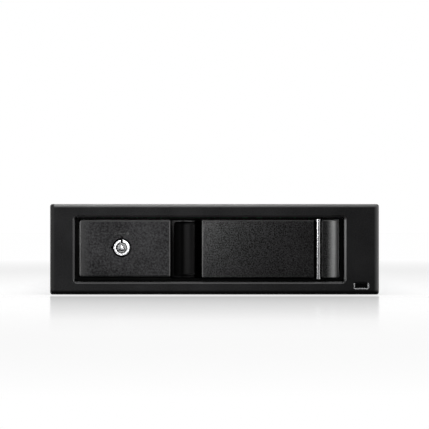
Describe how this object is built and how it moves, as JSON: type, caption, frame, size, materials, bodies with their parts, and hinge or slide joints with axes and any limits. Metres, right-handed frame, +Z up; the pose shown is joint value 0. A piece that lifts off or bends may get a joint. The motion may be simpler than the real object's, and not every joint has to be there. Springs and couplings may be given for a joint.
{
  "type": "hot swap drive cage",
  "caption": "Drive rack for a half-height bay with a sliding drive tray, a cam lever on a steel pin, a finger scoop and a round-key lock.",
  "frame": {"origin": "below the middle of the whole cage, at the height of its underside", "axes": "+Z up, +Y into the cage from the front bezel to the rear ports, +X to the right seen from the front"},
  "size_m": [0.149, 0.19, 0.041],
  "materials": {
    "bezel_plastic": "satin moulded black",
    "fine_grain": "fine-grained moulded black",
    "lever_grain": "coarse-grained moulded black",
    "scoop_gloss": "smooth glossy black",
    "tray_plastic": "plain moulded black",
    "zinc_steel": "zinc-plated sheet",
    "pan_aluminium": "brushed sheet",
    "pin_steel": "ground and polished",
    "lock_chrome": "bright plated",
    "lock_core": "satin grey",
    "spring_steel": "plain spring steel",
    "screw_steel": "zinc-plated",
    "board_green": "lacquered circuit board",
    "post_brass": "turned",
    "contact_brass": "plated contacts",
    "connector_black": "moulded black",
    "port_white": "moulded off-white",
    "capacitor_can": "plain can",
    "lamp_lens": "clear resin",
    "clear_pipe": "clear moulded rod",
    "rail_plastic": "moulded dark grey",
    "runner_nylon": "natural nylon",
    "sheet_film": "thin polyester film"
  },
  "bodies": {
    "cage": {"front_bezel": "bezel_plastic", "front_flange": "zinc_steel", "lower_chassis": "zinc_steel", "top_cover": "zinc_steel", "rear_plate": "zinc_steel", "backplane_board": "board_green", "board_posts": "post_brass", "board_screws": "screw_steel", "drive_connector": "connector_black", "data_port": "connector_black", "power_port": "port_white", "power_pins": "contact_brass", "board_chip": "connector_black", "board_capacitors": "capacitor_can", "status_lamps": "lamp_lens", "light_pipe": "clear_pipe", "ground_springs": "spring_steel", "bezel_screws": "screw_steel", "cover_screws": "screw_steel", "rail_screws": "screw_steel", "flange_rivets": "screw_steel", "rear_screws": "screw_steel", "guide_rail_left": "rail_plastic", "guide_rail_right": "rail_plastic"},
    "tray": {"tray_front": "tray_plastic", "lock_plate": "fine_grain", "lock_collar": "lock_chrome", "lock_nut": "screw_steel", "finger_scoop": "scoop_gloss", "pivot_pin": "pin_steel", "lever_catch": "spring_steel", "lever_spring": "spring_steel", "tray_pan": "pan_aluminium", "tray_runner_left": "runner_nylon", "tray_runner_right": "runner_nylon", "runner_rivets": "screw_steel", "front_screws": "screw_steel", "insulation_sheet": "sheet_film"},
    "lever": {"lever_handle": "lever_grain", "lever_hook": "spring_steel"},
    "lock": {"lock_spindle": "lock_core", "lock_cam": "spring_steel", "cam_screw": "screw_steel"}
  },
  "joints": [
    {"name": "tray_slide", "type": "slide", "parent": "cage", "child": "tray", "axis": [0, -1, 0], "range_m": [0, 0.14]},
    {"name": "lever_hinge", "type": "hinge", "parent": "tray", "child": "lever", "pos_m": [0.0471, -0.0926, 0.0206], "axis": [0, 0, 1], "range_deg": [0, 60]},
    {"name": "lock_turn", "type": "hinge", "parent": "tray", "child": "lock", "pos_m": [-0.042, -0.089, 0.0212], "axis": [0, -1, 0], "range_deg": [0, 90]}
  ]
}
